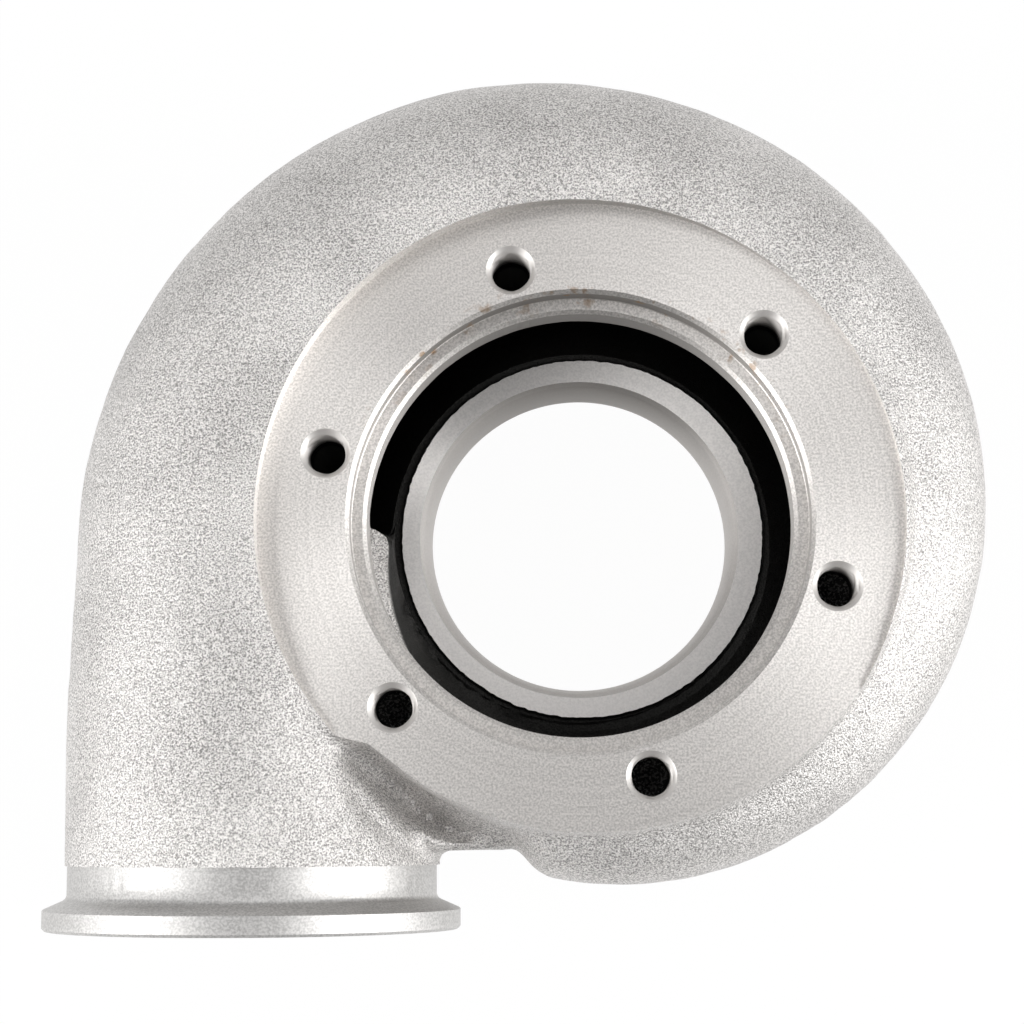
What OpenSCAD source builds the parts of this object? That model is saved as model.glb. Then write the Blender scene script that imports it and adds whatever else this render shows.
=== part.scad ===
// Turbocharger turbine housing: one casting with machined joint faces.
// Millimetres. The turbine axis is Z. The face that the bearing housing bolts to is z = 0,
// the gas outlet points down and the gas inlet points along -Y.
// Gas enters the duct at the left, runs clockwise round the scroll seen from above and
// leaves inwards through the slot between the bore and the shroud lip.

/* [Mounting face] */
// Radius of the turned mounting face
face_r = 57; // [54:0.5:60]
// Radius of the cast pad under the face
pad_r = 56.2; // [54:0.2:58]
// How far the cast pad sits off the turbine axis, along X
pad_x = 2; // [0:0.5:3]
// How far the cast pad sits off the turbine axis, along Y
pad_y = 1.5; // [0:0.5:3]
// Depth of metal behind the face at the bolts
pad_depth = 14.5; // [13:0.5:18]
// Diameter of the bolt circle
bolt_circle = 93; // [90:0.5:96]
// Number of bolts
bolt_count = 6; // [4:1:8]
// Angle of the first bolt
bolt_angle = 45; // [0:5:60]
// Radius of the tapping drill for M8
bolt_r = 3.4; // [3:0.1:4]
// Depth of the tapped holes
bolt_depth = 10.5; // [8:0.5:11]
// Width of the chamfer round each bolt hole
bolt_chamfer = 1.05; // [0.5:0.05:1.5]

/* [Register and bore] */
// Radius of the register recess
register_r = 40.7; // [40:0.1:42]
// Depth of the register recess
register_depth = 4.5; // [3:0.5:6]
// Chamfer at the mouth of the register and of the bore
edge_chamfer = 0.7; // [0.3:0.1:1.2]
// Radius of the bore below the register
bore_r = 38; // [37:0.1:39]
// Depth from the face to the upper side of the gas slot
slot_top = 12.4; // [11:0.2:13]

/* [Wheel shroud] */
// Depth from the face to the flat shroud lip
lip_depth = 26.7; // [25:0.5:30]
// Outer radius of the shroud lip
lip_r = 33.8; // [32.5:0.1:35]
// Radius of the shroud where the gas enters the wheel
inducer_r = 30.5; // [29:0.1:31]
// Radius of the shroud where the gas leaves the wheel
exducer_r = 28; // [26:0.1:29]
// Depth from the face to the narrowest part of the shroud
exducer_depth = 36; // [34:0.5:40]
// Length of the narrow land
exducer_land = 2; // [1:0.5:4]

/* [Scroll] */
// Angle of the tongue
tongue_angle = 178; // [170:1:185]
// Wall of the casting
wall = 4.6; // [3.5:0.1:5.5]
// Outer radius of the scroll at the tongue
scroll_r_start = 93.3; // [91:0.1:96]
// Outer radius that a straight spiral would have at the tongue
scroll_r_spiral = 96.2; // [95:0.1:99]
// Radius that the spiral loses in a full turn
scroll_fall = 43.9; // [42:0.1:46]
// Part of the first turn over which the spiral is eased in
scroll_ease = 0.24; // [0.1:0.01:0.3]
// Radius at which the scroll tube meets the wheel space
scroll_inner_r = 33.5; // [32:0.1:35]
// Angle at which the full scroll body ends, beside the inlet duct
scroll_end_angle = -95; // [-110:1:-80]
// Height of the scroll's crown above the face at the tongue
crown_start = 4; // [2:0.2:6]
// Depth of the crown below the face after a full turn
crown_end = 8.5; // [6:0.5:12]

/* [Inlet duct] */
// Distance from the turbine axis to the inlet axis
inlet_x = 60.6; // [60:0.1:63]
// Depth from the face to the inlet axis
inlet_depth = 29; // [27:0.5:32]
// Outer radius of the cast duct at its end
duct_r = 34.4; // [34.2:0.1:36]
// Distance from the turbine axis to the end of the cast duct
duct_end = 60.2; // [58:0.2:63]
// How far the duct's outer side swings out past the tongue
duct_swing = 1.9; // [0:0.1:3]
// Distance from the turbine axis to the inlet face
inlet_face = 71.9; // [70:0.1:75]
// Radius of the machined inlet neck
inlet_neck_r = 33.9; // [33:0.1:35]
// Radius of the clamp rim at the inlet
inlet_rim_r = 38.3; // [37:0.1:40]
// Radius of the inlet bore
inlet_bore_r = 30; // [28:0.1:31]

/* [Outlet] */
// Depth from the mounting face to the outlet face
outlet_depth = 80; // [76:0.5:90]
// Radius of the machined outlet neck
outlet_neck_r = 40.6; // [39:0.1:42]
// Radius of the clamp rim at the outlet
outlet_rim_r = 45; // [43:0.1:48]
// Radius of the outlet bore
outlet_bore_r = 37; // [35:0.1:38]
// Depth at which the outlet reaches its full bore
outlet_flare_depth = 62; // [56:0.5:68]

/* [Clamp rims] */
// Thickness of a clamp rim at its edge
rim_edge = 3.85; // [3:0.05:5]
// Rise of the rim's sloping back
rim_slope = 1.6; // [1:0.1:2.5]
// Length of the machined neck behind a rim
neck_length = 6.2; // [5:0.1:8]
// Edge break on a rim
rim_chamfer = 0.5; // [0.2:0.1:0.8]

/* [Hidden] */
$fn = 96;
eps = 0.01;
// Late places in the turn and the outer radius of the passage there, which runs out at the tongue
passage_late = [0.77, 53.4];
passage_tip = [0.9, 38.6];
passage_end_r = 34.6;
// Place in the turn where the passage starts to rise to the top of the slot, and how long it takes
rise_start = 0.78;
rise_turn = 0.08;
// The slot's mouth and the late roof reach this far past the slot's top, so that no skin stays
mouth_rise = 1.5;
roof_rise = 0.3;
scroll_steps = 40;
end_steps = 7;
passage_steps = 56;
duct_steps = 8;
arc_steps = 18;
back_steps = 5;
scroll_end_turn = (tongue_angle - scroll_end_angle) / 360;
thin_end_turn = 0.82;
passage_end_turn = 0.995;
// The duct stops being round this share of its length before the tongue
tongue_share = 0.01;
core_r = 36;
// Drafted side of the cast pad
pad_height = 22;
pad_draft = 1.4;
pad_inset = 3;
// Depths at which the core starts to narrow, nears the outlet tube and becomes it
core_shoulder = 26;
core_foot = 44;
core_foot_step = 2;
tube_start = 50;
outlet_tube_r = 42;
// Box of the web beside the duct
web_x = [-37, -9];
web_y = [-57.6, -31];
web_z = [-39, -15];
web_round = 5;
land_overlap = 0.5;
land_margin = 5;
drill_point = 0.6;
spot_height = 30;

// Place in the turn, 0 at the tongue and 1 a full turn later
function angle_at(turn) = tongue_angle - 360 * turn;

// Outer radius of the full scroll body
function skin_r(turn) =
    scroll_r_spiral - scroll_fall * turn
    - (scroll_r_spiral - scroll_r_start) * pow(max(0, 1 - turn / scroll_ease), 2);

// Outer radius of the gas passage
function passage_r(turn) =
    turn < 0.5 ? skin_r(turn) - wall
    : lookup(turn, [
        [0.5, skin_r(0.5) - wall],
        passage_late,
        passage_tip,
        [1, passage_end_r]
    ]);

// Height of the scroll's crown against the face
function crown_z(turn) =
    crown_start - (crown_start + crown_end) * pow(max(0, (turn - 0.2) / 0.8), 0.9);

function tube_r(outer_r) = (outer_r - scroll_inner_r) / 2;

// Centre height of the section, so that crown and tube radius agree
function centre_z(turn) = crown_z(turn) - tube_r(skin_r(turn));

function mix(a, b, share) = a + (b - a) * share;

// Angle at which a line from a point touches a circle
function touch(point, centre, radius, side) =
    let (
        gap = point - centre,
        bearing = atan2(gap[1], gap[0]),
        turned = bearing < -90 ? bearing + 360 : bearing
    )
    turned + side * acos(min(1, radius / norm(gap)));

// A closed section in radius and height: a round outer side that runs in straight lines
// to an upper and a lower inner point. With open = 0 it is the plain circle.
function section(centre, radius, upper, lower, open) =
    let (
        top = mix(centre + 1.003 * radius * [cos(135), sin(135)], upper, open),
        bottom = mix(centre + 1.003 * radius * [cos(225), sin(225)], lower, open),
        from = touch(top, centre, radius, -1),
        to = touch(bottom, centre, radius, 1) - 360
    )
    concat(
        [top],
        [for (i = [0 : arc_steps])
            let (a = mix(from, to, i / arc_steps))
            centre + radius * [cos(a), sin(a)]],
        [bottom],
        [for (i = [1 : back_steps])
            let (
                a = 225 - 90 * i / (back_steps + 1),
                round_side = centre + radius * [cos(a), sin(a)],
                straight_side = mix(lower, upper, i / (back_steps + 1))
            )
            mix(round_side, straight_side, open)]
    );

// A section stood up at an angle round the turbine axis and shifted along Y
function placed(outline, angle, shift) =
    [for (p = outline) [p[0] * cos(angle), p[0] * sin(angle) + shift, p[1]]];

// Outer section of the scroll, flat towards the core above and below
function skin_section(outer_r, z) =
    let (radius = tube_r(outer_r))
    section([outer_r - radius, z], radius, [core_r, z + radius], [core_r, z - 0.96 * radius], 1);

function eased(share) = share * share * (3 - 2 * share);

// Passage section, open towards the wheel through the slot. Late in the turn its round part
// rises to the top of the slot, so that its floor climbs towards the tongue.
function passage_section(turn) =
    let (
        outer_r = passage_r(turn),
        radius = max(1.5, (outer_r - scroll_inner_r - wall) / 2),
        rise = eased(min(1, max(0, (turn - rise_start) / rise_turn))),
        z = mix(centre_z(turn), roof_rise - slot_top - radius, rise),
        lower_r = min(lip_r, outer_r - 2 * radius)
    )
    section(
        [outer_r - radius, z], radius,
        [min(inducer_r + 0.5, lower_r), mouth_rise - slot_top], [lower_r, -lip_depth], 1
    );

// The duct's outer side, tube radius and height on the way from the tongue to its end
function duct_outer(share) = scroll_r_start + duct_swing * sin(90 * share);
function duct_tube(share) = mix(tube_r(scroll_r_start), duct_r, share);
function duct_z(share) = mix(centre_z(0), -inlet_depth, share);

// Section of the duct, thinner by the wall for the passage and opened towards the core
function duct_section(share, thinner, open) =
    let (
        radius = duct_tube(share) - thinner,
        outer = mix(duct_outer(share), inlet_x + duct_r, share * share),
        z = duct_z(share)
    )
    section(
        [outer - duct_tube(share), z], radius,
        [core_r, z + radius], [core_r, z - 0.96 * radius], open
    );

// A solid through a row of sections with the same number of points
module loft(rings) {
    count = len(rings[0]);
    last = len(rings) - 1;
    polyhedron(
        points = [for (ring = rings) for (p = ring) p],
        faces = concat(
            [[for (j = [count - 1 : -1 : 0]) j]],
            [for (i = [0 : last - 1]) for (j = [0 : count - 1])
                let (k = (j + 1) % count)
                [i * count + j, i * count + k, (i + 1) * count + k, (i + 1) * count + j]],
            [[for (j = [0 : count - 1]) last * count + j]]
        ),
        convexity = 6
    );
}

// Cast outside: the inlet duct, the full scroll, its rounded end and the thin last part,
// which disappears into the core
module scroll_skin() {
    duct = [for (i = [duct_steps : -1 : 0])
        let (share = max(tongue_share, i / duct_steps))
        placed(duct_section(share, 0, pow(max(0, 1 - 1.8 * share), 1.5)), 180, -duct_end * share)];
    scroll = [for (i = [0 : scroll_steps])
        let (turn = scroll_end_turn * i / scroll_steps)
        placed(skin_section(skin_r(turn), centre_z(turn)), angle_at(turn), 0)];
    last = [for (i = [1 : end_steps])
        let (
            turn = scroll_end_turn + (thin_end_turn - scroll_end_turn) * i / end_steps,
            travel = min(1, i / end_steps * 2.4),
            thin = passage_r(turn) + wall
        )
        placed(
            skin_section(mix(skin_r(turn), thin, (1 - cos(180 * travel)) / 2), centre_z(turn)),
            angle_at(turn), 0
        )];
    loft(concat(duct, scroll, last));
}

// Gas passage from the inlet round to the tongue, where it runs out
module passage() {
    duct = [for (i = [duct_steps : -1 : 0])
        let (share = max(tongue_share, i / duct_steps))
        placed(duct_section(share, wall, 0), 180, -duct_end * share)];
    scroll = [for (i = [0 : passage_steps])
        let (turn = passage_end_turn * i / passage_steps)
        placed(passage_section(turn), angle_at(turn), 0)];
    loft(concat(duct, scroll));
}

// Metal that stays in the passage behind the mounting face, so that the bolts hold
module bolt_land() {
    rotate_extrude()
        polygon([
            [bore_r - land_overlap, 1],
            [bore_r - land_overlap, -slot_top],
            [bore_r + 0.5, -slot_top],
            [bore_r + 4.5, -pad_depth],
            [bolt_circle / 2 + bolt_r + 2, -pad_depth],
            [face_r + land_margin, -1],
            [face_r + land_margin, 1]
        ]);
}

// Cast pad under the mounting face and the core down to the outlet tube
module core() {
    translate([pad_x, pad_y, -pad_height])
        cylinder(h = pad_height, r1 = pad_r + pad_draft, r2 = pad_r);
    rotate_extrude()
        polygon([
            [0, -1],
            [pad_r - pad_inset, -1],
            [pad_r - pad_inset, -core_shoulder],
            [outlet_tube_r + core_foot_step, -core_foot],
            [outlet_tube_r, -tube_start],
            [outlet_tube_r, -outlet_depth + rim_edge + rim_slope + neck_length],
            [0, -outlet_depth + rim_edge + rim_slope + neck_length]
        ]);
}

// Web that ties the end of the scroll to the inlet duct, with rounded edges
module duct_web() {
    hull()
        for (x = [web_x[0] + web_round, web_x[1] - web_round])
            for (y = [web_y[0] + web_round, web_y[1] - web_round])
                for (z = [web_z[0] + web_round, web_z[1] - web_round])
                    translate([x, y, z])
                        sphere(r = web_round, $fn = 20);
}

// A clamp rim with its sloping back and neck, its face at z = 0 and its neck upwards
module clamp_end(rim_r, neck_r) {
    back = rim_edge + rim_slope;
    rotate_extrude()
        polygon([
            [0, 0],
            [rim_r - rim_chamfer, 0],
            [rim_r, rim_chamfer],
            [rim_r, rim_edge - rim_chamfer / 2],
            [rim_r - rim_chamfer / 2, rim_edge],
            [neck_r + 0.9, back - 0.2],
            [neck_r + 0.3, back + 0.2],
            [neck_r, back + 0.8],
            [neck_r, back + neck_length + 0.5],
            [0, back + neck_length + 0.5]
        ]);
}

// Six tapped holes with their chamfers
module bolt_holes() {
    for (i = [0 : bolt_count - 1])
        rotate(bolt_angle + 360 * i / bolt_count)
            translate([bolt_circle / 2, 0, 0]) {
                translate([0, 0, -bolt_depth])
                    cylinder(h = bolt_depth + 1, r = bolt_r);
                translate([0, 0, -bolt_depth - bolt_r * drill_point])
                    cylinder(h = bolt_r * drill_point + eps, r1 = eps, r2 = bolt_r);
                translate([0, 0, -bolt_chamfer])
                    cylinder(h = bolt_chamfer + eps, r1 = bolt_r, r2 = bolt_r + bolt_chamfer + eps);
            }
}

// Everything turned about the turbine axis: register, bore, wheel space and shroud
module turned_bore() {
    contour_drop = exducer_depth - lip_depth;
    rotate_extrude()
        polygon(concat(
            [
                [0, 1],
                [register_r + edge_chamfer + 1, 1],
                [register_r, -edge_chamfer],
                [register_r, -register_depth],
                [bore_r + edge_chamfer, -register_depth],
                [bore_r, -register_depth - edge_chamfer],
                [bore_r, -slot_top - eps],
                [lip_r + 0.3, -slot_top - eps],
                [lip_r + 0.3, -lip_depth],
                [inducer_r, -lip_depth]
            ],
            [for (a = [15 : 15 : 75])
                [
                    exducer_r + (inducer_r - exducer_r) * (1 - sin(a)),
                    -lip_depth - contour_drop * (1 - cos(a))
                ]],
            [
                [exducer_r, -exducer_depth],
                [exducer_r, -exducer_depth - exducer_land],
                [outlet_bore_r, -outlet_flare_depth],
                [outlet_bore_r, -outlet_depth - 1],
                [0, -outlet_depth - 1]
            ]
        ));
}

module turbine_housing() {
    color([0.72, 0.71, 0.69])
    difference() {
        union() {
            scroll_skin();
            core();
            duct_web();
            translate([0, 0, -outlet_depth])
                clamp_end(outlet_rim_r, outlet_neck_r);
            translate([-inlet_x, -inlet_face, -inlet_depth])
                rotate([-90, 0, 0])
                    clamp_end(inlet_rim_r, inlet_neck_r);
        }
        difference() {
            passage();
            bolt_land();
        }
        turned_bore();
        cylinder(h = spot_height, r = face_r);
        translate([-inlet_x, -inlet_face - 1, -inlet_depth])
            rotate([-90, 0, 0])
                cylinder(h = inlet_face - duct_end + 1.5, r = inlet_bore_r);
        bolt_holes();
    }
}

turbine_housing();
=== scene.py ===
# %% [markdown]
# # A cast turbine housing
# The object is one steel casting: a scroll that tapers round the turbine wheel, a round
# inlet duct, and joint faces that a lathe has cut afterwards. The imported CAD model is
# loaded first. It gives the place and the size of everything that follows.

# %% Load the CAD frame
import math
import bmesh
import bpy
from mathutils import Matrix, Vector, noise


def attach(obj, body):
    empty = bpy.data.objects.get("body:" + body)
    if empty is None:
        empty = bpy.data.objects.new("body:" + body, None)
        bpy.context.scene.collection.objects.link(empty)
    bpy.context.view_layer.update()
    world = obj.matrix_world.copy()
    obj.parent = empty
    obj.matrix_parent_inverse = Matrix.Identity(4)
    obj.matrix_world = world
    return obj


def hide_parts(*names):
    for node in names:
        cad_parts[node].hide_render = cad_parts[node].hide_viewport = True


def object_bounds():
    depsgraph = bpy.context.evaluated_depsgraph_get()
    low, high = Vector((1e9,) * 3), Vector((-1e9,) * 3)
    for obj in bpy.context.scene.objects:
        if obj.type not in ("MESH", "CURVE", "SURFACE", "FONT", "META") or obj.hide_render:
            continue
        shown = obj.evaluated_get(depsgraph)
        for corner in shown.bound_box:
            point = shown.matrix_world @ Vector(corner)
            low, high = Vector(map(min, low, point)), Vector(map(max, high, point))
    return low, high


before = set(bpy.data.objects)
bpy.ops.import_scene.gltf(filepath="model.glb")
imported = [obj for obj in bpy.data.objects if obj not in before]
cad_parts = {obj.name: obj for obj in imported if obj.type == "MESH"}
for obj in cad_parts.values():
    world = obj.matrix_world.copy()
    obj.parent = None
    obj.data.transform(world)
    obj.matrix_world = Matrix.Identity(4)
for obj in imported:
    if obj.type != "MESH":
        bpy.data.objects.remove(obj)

cad_low, cad_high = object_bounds()
print("CAD box in mm:", [round(1000 * v, 1) for v in (*cad_low, *cad_high)])

# %% [markdown]
# ## Sizes
# The CAD source names these sizes in millimetres, and Blender works in metres. They are
# repeated here once, so that each step below can speak of a bore or a lip by its name.

# %% Sizes of the casting
MM = 0.001
FACE_R = 57.0
PAD = {"radius": 56.2, "x": 2.0, "y": 1.5, "depth": 22.0, "draft": 1.4}
PAD_TOP = 1.5
LOBE = {"radius": 8.4, "foot": 9.6, "depth": 12.0, "x": -37.6, "y": -30.4}
LAND_DEPTH = 14.5
BOLT = {"circle": 93.0, "count": 6, "angle": 45.0, "drill": 3.4, "depth": 10.5, "chamfer": 1.05}
REGISTER = {"radius": 40.7, "depth": 4.5, "chamfer": 0.7}
BORE_R = 38.0
SLOT_TOP = 12.4
LIP = {"depth": 26.7, "outer": 33.8, "inner": 30.5, "offset": 0.6}
EXDUCER = {"radius": 28.0, "depth": 36.0, "land": 2.0}
WALL = 4.6
INLET = {
    "x": 60.6, "depth": 29.0, "cast_end": 60.2, "face": 71.9,
    "duct": 34.4, "neck": 33.9, "rim": 38.3, "bore": 30.0,
}
OUTLET = {"depth": 80.0, "neck": 40.6, "rim": 45.0, "bore": 37.0, "flare": 62.0, "tube": 42.0}
RIM = {"edge": 3.85, "slope": 1.6, "neck": 6.2, "chamfer": 0.5}
SCROLL = {
    "Tongue Angle": 178.0,
    "Start Radius": 93.3,
    "Spiral Radius": 96.2,
    "Fall per Turn": 43.9,
    "Ease": 0.24,
    "Inner Radius": 33.5,
    "Crown Start": 4.0,
    "Crown End": 8.5,
    "Core Radius": 36.0,
    "Duct Swing": 1.9,
    "Duct Radius": INLET["duct"],
    "Duct End": INLET["cast_end"],
    "Inlet Side": INLET["x"] + INLET["duct"],
    "Inlet Depth": INLET["depth"],
}
SCROLL_END_ANGLE = -95.0
FULL_SCROLL_END = (SCROLL["Tongue Angle"] - SCROLL_END_ANGLE) / 360.0
MOUTH_RISE = 1.5
ROOF_RISE = 0.3
LATE_RISE_START, LATE_RISE_OVER = 0.78, 0.08
WEB = {"x": (-32.0, -14.0), "y": (-57.6, -31.0), "z": (-20.0, -34.0), "round": 5.0}
print("The scroll falls from", SCROLL["Start Radius"], "mm at the tongue by",
      SCROLL["Fall per Turn"], "mm a turn")

# %% [markdown]
# ## Arithmetic with nodes
# A scroll follows a rule, so a node tree can shape it. A long formula takes many Math
# nodes. This small class lets Python's own plus and times signs place them, and the
# formulas then read as they would on paper.

# %% A number inside a node tree
PI = math.pi


class Num:
    def __init__(self, tree, socket):
        self.tree = tree
        self.socket = socket

    def math(self, operation, *others):
        node = self.tree.nodes.new("ShaderNodeMath")
        node.operation = operation
        for entry, value in zip(node.inputs, (self, *others)):
            if isinstance(value, Num):
                self.tree.links.new(value.socket, entry)
            else:
                entry.default_value = value
        return Num(self.tree, node.outputs[0])

    def constant(self, value):
        return self.math("MULTIPLY", 0.0).math("ADD", value)

    def __add__(self, other):
        return self.math("ADD", other)

    def __sub__(self, other):
        return self.math("SUBTRACT", other)

    def __mul__(self, other):
        return self.math("MULTIPLY", other)

    def __truediv__(self, other):
        return self.math("DIVIDE", other)

    def __neg__(self):
        return self.math("MULTIPLY", -1.0)

    def __rsub__(self, other):
        return (-self).math("ADD", other)

    __radd__ = __add__
    __rmul__ = __mul__


def limited(value, low=0.0, high=1.0):
    return value.math("MAXIMUM", low).math("MINIMUM", high)


def mix(start, end, share):
    return start + (end - start) * share


def eased(value, start, length):
    share = limited((value - start) / length)
    return share * share * (3.0 - 2.0 * share)


def split(tree, vector):
    node = tree.nodes.new("ShaderNodeSeparateXYZ")
    tree.links.new(vector, node.inputs[0])
    return [Num(tree, entry) for entry in node.outputs]


def combined(tree, x, y, z):
    node = tree.nodes.new("ShaderNodeCombineXYZ")
    for entry, value in zip(node.inputs, (x, y, z)):
        if isinstance(value, Num):
            tree.links.new(value.socket, entry)
        else:
            entry.default_value = value
    return node.outputs[0]


print("Three quarters of the way from 2 to 6 is", mix(2.0, 6.0, 0.75))

# %% [markdown]
# ## Node trees with named inputs
# Every tree gets its sizes through named inputs. A modifier stores them by an identifier,
# so a helper looks each identifier up from the name. The result is then copied to a plain
# mesh, and the modifier is gone before the piece joins the rest.

# %% Helpers for node trees
def new_tree(name, inputs):
    tree = bpy.data.node_groups.new(name, "GeometryNodeTree")
    for label, value in inputs.items():
        entry = tree.interface.new_socket(label, in_out="INPUT", socket_type="NodeSocketFloat")
        entry.default_value = value
    finish = tree.interface.new_socket("Finish", in_out="INPUT", socket_type="NodeSocketMaterial")
    tree.interface.new_socket("Geometry", in_out="OUTPUT", socket_type="NodeSocketGeometry")
    given = tree.nodes.new("NodeGroupInput")
    values = {label: Num(tree, given.outputs[label]) for label in inputs}
    return tree, values, given.outputs[finish.name]


def unit_tube(tree, vertices, segments):
    tube = tree.nodes.new("GeometryNodeMeshCylinder")
    tube.fill_type = "NGON"
    tube.inputs["Vertices"].default_value = vertices
    tube.inputs["Side Segments"].default_value = segments
    tube.inputs["Radius"].default_value = 1.0
    tube.inputs["Depth"].default_value = 1.0
    place = tree.nodes.new("GeometryNodeInputPosition")
    return tube.outputs["Mesh"], split(tree, place.outputs[0])


def moved(tree, geometry, x, y, z):
    move = tree.nodes.new("GeometryNodeSetPosition")
    tree.links.new(geometry, move.inputs["Geometry"])
    tree.links.new(combined(tree, x * MM, y * MM, z * MM), move.inputs["Position"])
    return move.outputs["Geometry"]


def end_tree(tree, geometry, finish):
    realize = tree.nodes.new("GeometryNodeRealizeInstances")
    paint = tree.nodes.new("GeometryNodeSetMaterial")
    out = tree.nodes.new("NodeGroupOutput")
    tree.links.new(geometry, realize.inputs[0])
    tree.links.new(realize.outputs[0], paint.inputs["Geometry"])
    tree.links.new(finish, paint.inputs["Material"])
    tree.links.new(paint.outputs[0], out.inputs[0])


# %% Helpers for meshes
def placed(name, data):
    obj = bpy.data.objects.new(name, data)
    bpy.context.scene.collection.objects.link(obj)
    return obj


def from_shape(name, shape, finish):
    mesh = bpy.data.meshes.new(name)
    shape.to_mesh(mesh)
    shape.free()
    mesh.materials.append(finish)
    return placed(name, mesh)


def evaluated(obj):
    depsgraph = bpy.context.evaluated_depsgraph_get()
    mesh = bpy.data.meshes.new_from_object(obj.evaluated_get(depsgraph), depsgraph=depsgraph)
    result = placed(obj.name, mesh)
    old = obj.data
    name = obj.name
    bpy.data.objects.remove(obj)
    bpy.data.meshes.remove(old)
    result.name = name
    return result


def outward(obj):
    shape = bmesh.new()
    shape.from_mesh(obj.data)
    bmesh.ops.remove_doubles(shape, verts=shape.verts, dist=1e-6)
    bmesh.ops.recalc_face_normals(shape, faces=shape.faces)
    if shape.calc_volume(signed=True) < 0:
        bmesh.ops.reverse_faces(shape, faces=shape.faces)
    shape.to_mesh(obj.data)
    shape.free()
    return obj


def grown(name, tree, sizes, finish):
    obj = placed(name, bpy.data.meshes.new(name))
    modifier = obj.modifiers.new(name, "NODES")
    modifier.node_group = tree
    for entry in tree.interface.items_tree:
        if entry.in_out == "INPUT":
            modifier[entry.identifier] = finish if entry.name == "Finish" else sizes[entry.name]
    obj = outward(evaluated(obj))
    obj.data.materials.clear()
    obj.data.materials.append(finish)
    print(name, "has", len(obj.data.polygons), "faces")
    return obj


# %% [markdown]
# ## Surface detail that two finishes share
# The skin was shot-blasted, which leaves fine pits that glitter. The lathe leaves rings
# about its axis. Both effects are shader node groups: they put out colours, masks and
# heights, and the shader itself stays in each material.

# %% Shader group helpers
def new_group(name, inputs, outputs):
    group = bpy.data.node_groups.new(name, "ShaderNodeTree")
    for label, (kind, value) in inputs.items():
        entry = group.interface.new_socket(label, in_out="INPUT", socket_type=kind)
        entry.default_value = value
    for label, kind in outputs.items():
        group.interface.new_socket(label, in_out="OUTPUT", socket_type=kind)
    return group, group.nodes.new("NodeGroupInput"), group.nodes.new("NodeGroupOutput")


def noise_node(tree, vector, scale, detail, roughness=0.5):
    node = tree.nodes.new("ShaderNodeTexNoise")
    node.inputs["Scale"].default_value = scale
    node.inputs["Detail"].default_value = detail
    node.inputs["Roughness"].default_value = roughness
    tree.links.new(vector, node.inputs["Vector"])
    return Num(tree, node.outputs["Fac"])


def blend_colour(tree, share, first, second):
    node = tree.nodes.new("ShaderNodeMix")
    node.data_type = "RGBA"
    tree.links.new(share.socket, node.inputs["Factor"])
    for entry, value in ((node.inputs["A"], first), (node.inputs["B"], second)):
        if isinstance(value, bpy.types.NodeSocket):
            tree.links.new(value, entry)
        else:
            entry.default_value = (*value, 1.0)
    return node.outputs["Result"]


FLOAT, COLOUR, VECTOR = "NodeSocketFloat", "NodeSocketColor", "NodeSocketVector"

# %% [markdown]
# ### Blasted grain
# Pits a third of a millimetre apart lie over slower waves of the mould. The tone follows
# the pits: their edges catch the light and their floors stay dark. The noise scales count
# the grains in a metre.

# %% The blasted grain
def blasted_grain():
    group, given, out = new_group(
        "blasted grain",
        {
            "Vector": (VECTOR, (0.0, 0.0, 0.0)),
            "Light Tone": (COLOUR, (0.87, 0.846, 0.827, 1.0)),
            "Dark Tone": (COLOUR, (0.19, 0.184, 0.178, 1.0)),
            "Depth": (FLOAT, 1.0),
        },
        {"Tone": COLOUR, "Roughness": FLOAT, "Height": FLOAT},
    )
    vector = given.outputs["Vector"]
    grain = noise_node(group, vector, scale=3000.0, detail=2.0, roughness=0.6)
    coarse = noise_node(group, vector, scale=900.0, detail=1.0)
    wave = noise_node(group, vector, scale=45.0, detail=2.0)
    pit_floor, pit_depth = 0.36, 0.24
    pits = limited((grain - pit_floor) / pit_depth)
    share = limited(pits * 0.8 + wave * 0.4 - 0.08)
    tone = blend_colour(group, share, given.outputs["Dark Tone"], given.outputs["Light Tone"])
    depth = Num(group, given.outputs["Depth"])
    height = (grain * 0.8 + coarse * 0.35 + wave * 0.3) * depth
    rough = 0.42 + grain * 0.25
    group.links.new(tone, out.inputs["Tone"])
    group.links.new(rough.socket, out.inputs["Roughness"])
    group.links.new(height.socket, out.inputs["Height"])
    return group


BLASTED = blasted_grain()
print("The grain takes", len(BLASTED.nodes), "nodes")

# %% [markdown]
# ### Lathe rings
# The tool leaves a fine spiral about the axis it turned on. The group takes the axis as a
# centre and a direction that flattens it, measures the distance from it, and draws rings
# whose strength wanders a little.

# %% The lathe rings
FULL_TURN = 6.2832


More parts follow.
